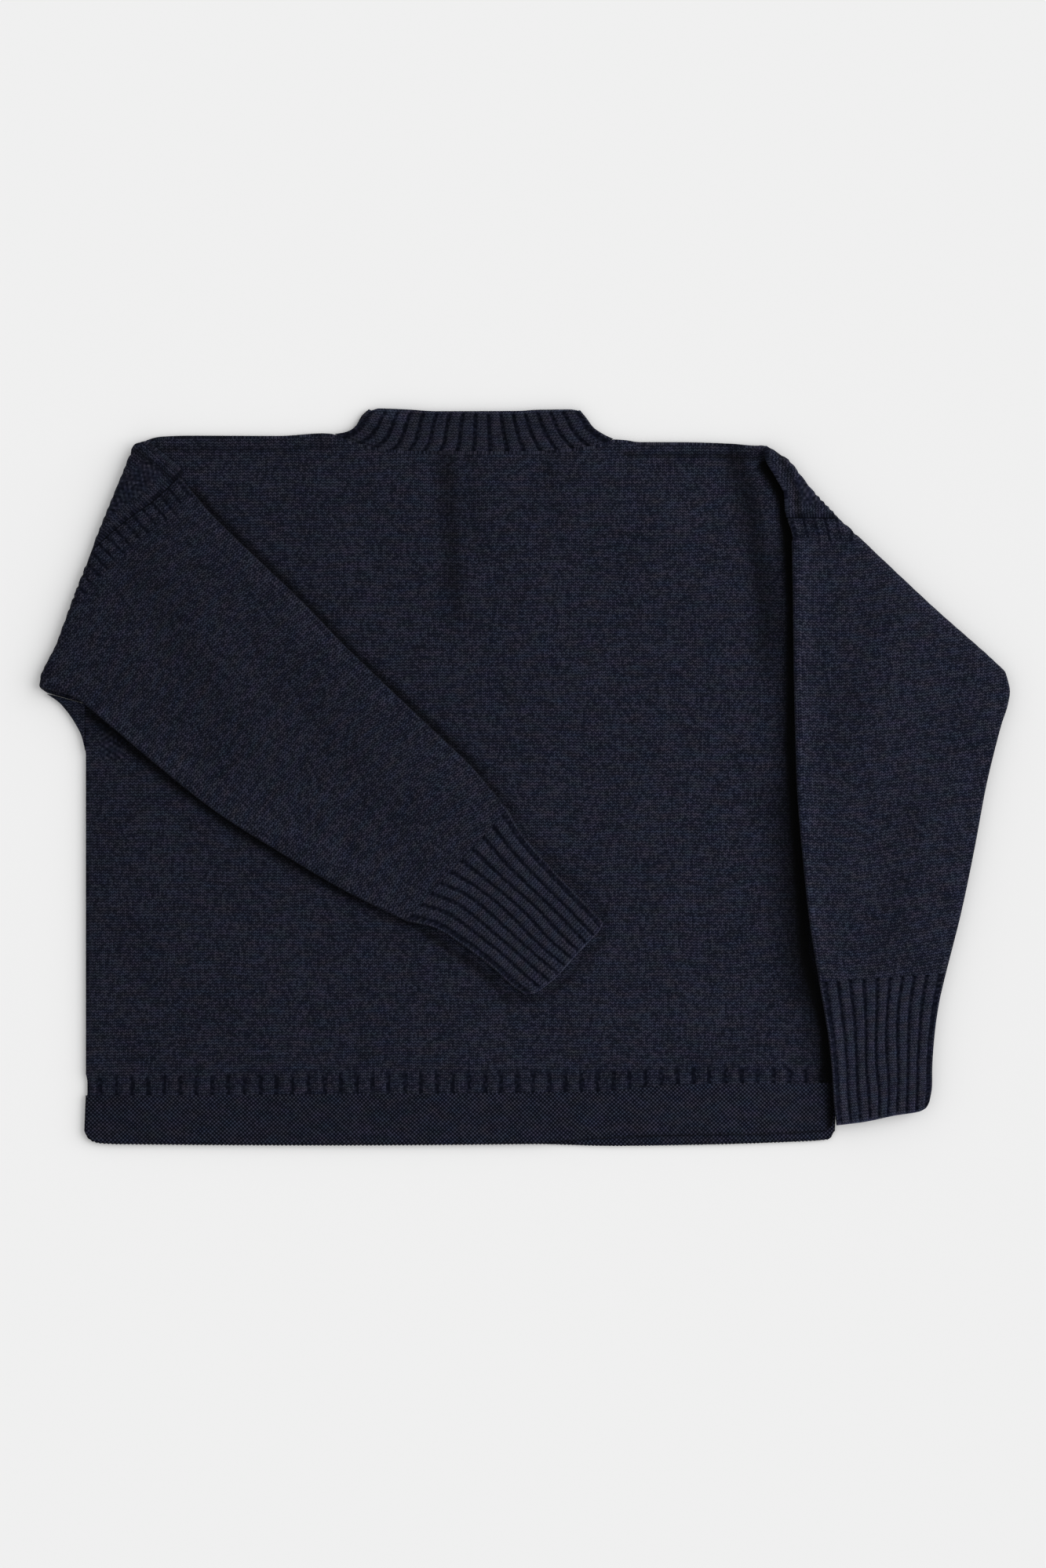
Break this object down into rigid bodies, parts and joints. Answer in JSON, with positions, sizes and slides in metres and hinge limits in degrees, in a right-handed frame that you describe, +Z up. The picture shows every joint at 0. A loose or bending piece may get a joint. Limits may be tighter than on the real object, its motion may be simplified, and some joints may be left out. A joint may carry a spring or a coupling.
{
  "type": "guernsey fisherman sweater, laid flat with folded sleeves",
  "caption": "Knitted drop-shoulder sweater lying flat, both sleeves folded over its front, with ribbed collar and cuffs and split garter hem.",
  "frame": {"origin": "middle of the sweater's footprint, on the surface that it lies on", "axes": "+X across the body to the right as it is seen from above, +Y from the hem to the neck, +Z up"},
  "size_m": [0.8282, 0.6298, 0.012],
  "materials": {
    "stockinette": "matt navy worsted wool, fine stocking stitch",
    "rib": "matt navy worsted wool, two-by-two rib",
    "garter": "matt navy worsted wool, garter stitch"
  },
  "bodies": {
    "root": {"body_front": "stockinette", "body_back": "stockinette", "sleeve_left": "stockinette", "sleeve_right": "stockinette", "gusset_left": "stockinette", "gusset_right": "stockinette", "cuff_left": "rib", "cuff_right": "rib", "collar": "rib", "welt_front": "garter", "welt_back": "garter"}
  },
  "joints": []
}
